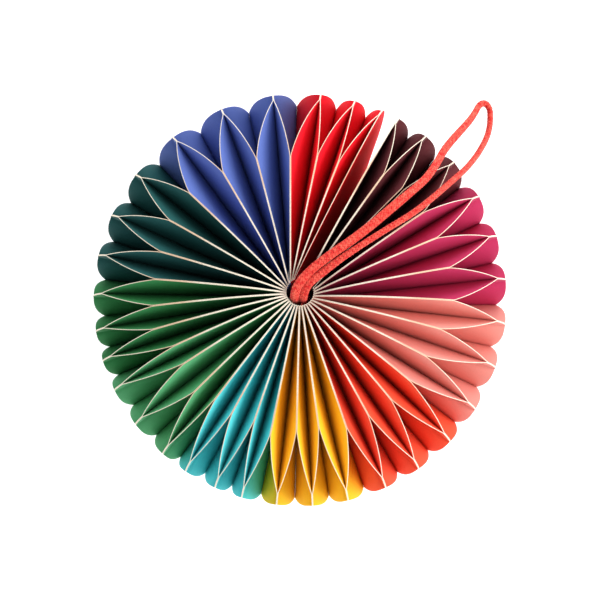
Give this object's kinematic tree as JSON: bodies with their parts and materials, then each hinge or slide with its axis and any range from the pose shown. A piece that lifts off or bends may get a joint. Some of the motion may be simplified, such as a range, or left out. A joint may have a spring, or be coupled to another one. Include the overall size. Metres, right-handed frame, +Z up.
{
  "type": "folded paper heart ornament",
  "caption": "Hanging heart of folded card leaves that fan round a spine into open cells, in a wheel of colours, with a knitted cord loop.",
  "frame": {"origin": "on the spine axis at the level of the cleft, where the cord leaves the spine", "axes": "+Z up along the spine, away from the lower tip; +Y towards the first red sheet, on the side of the closing gap"},
  "size_m": [0.0999, 0.0999, 0.1016],
  "materials": {
    "maroon_card": "matte dyed card, cream cut edges",
    "magenta_card": "matte dyed card, cream cut edges",
    "salmon_card": "matte dyed card, cream cut edges",
    "orange_card": "matte dyed card, cream cut edges",
    "yellow_card": "matte dyed card, cream cut edges",
    "turquoise_card": "matte dyed card, cream cut edges",
    "light_green_card": "matte dyed card, cream cut edges",
    "dark_green_card": "matte dyed card, cream cut edges",
    "teal_card": "matte dyed card, cream cut edges",
    "blue_card": "matte dyed card, cream cut edges",
    "red_card": "matte dyed card, cream cut edges",
    "cord": "knitted cotton"
  },
  "bodies": {
    "root": {"maroon_sheet_1": "maroon_card", "maroon_sheet_2": "maroon_card", "maroon_sheet_3": "maroon_card", "magenta_sheet_1": "magenta_card", "magenta_sheet_2": "magenta_card", "magenta_sheet_3": "magenta_card", "salmon_sheet_1": "salmon_card", "salmon_sheet_2": "salmon_card", "salmon_sheet_3": "salmon_card", "orange_sheet_1": "orange_card", "orange_sheet_2": "orange_card", "orange_sheet_3": "orange_card", "yellow_sheet_1": "yellow_card", "yellow_sheet_2": "yellow_card", "yellow_sheet_3": "yellow_card", "turquoise_sheet_1": "turquoise_card", "turquoise_sheet_2": "turquoise_card", "turquoise_sheet_3": "turquoise_card", "light_green_sheet_1": "light_green_card", "light_green_sheet_2": "light_green_card", "light_green_sheet_3": "light_green_card", "dark_green_sheet_1": "dark_green_card", "dark_green_sheet_2": "dark_green_card", "dark_green_sheet_3": "dark_green_card", "teal_sheet_1": "teal_card", "teal_sheet_2": "teal_card", "teal_sheet_3": "teal_card", "blue_sheet_1": "blue_card", "blue_sheet_2": "blue_card", "blue_sheet_3": "blue_card", "red_sheet_1": "red_card", "red_sheet_2": "red_card", "red_sheet_3": "red_card", "red_end_cover": "red_card", "hanging_cord": "cord", "cord_knot": "cord"}
  },
  "joints": []
}
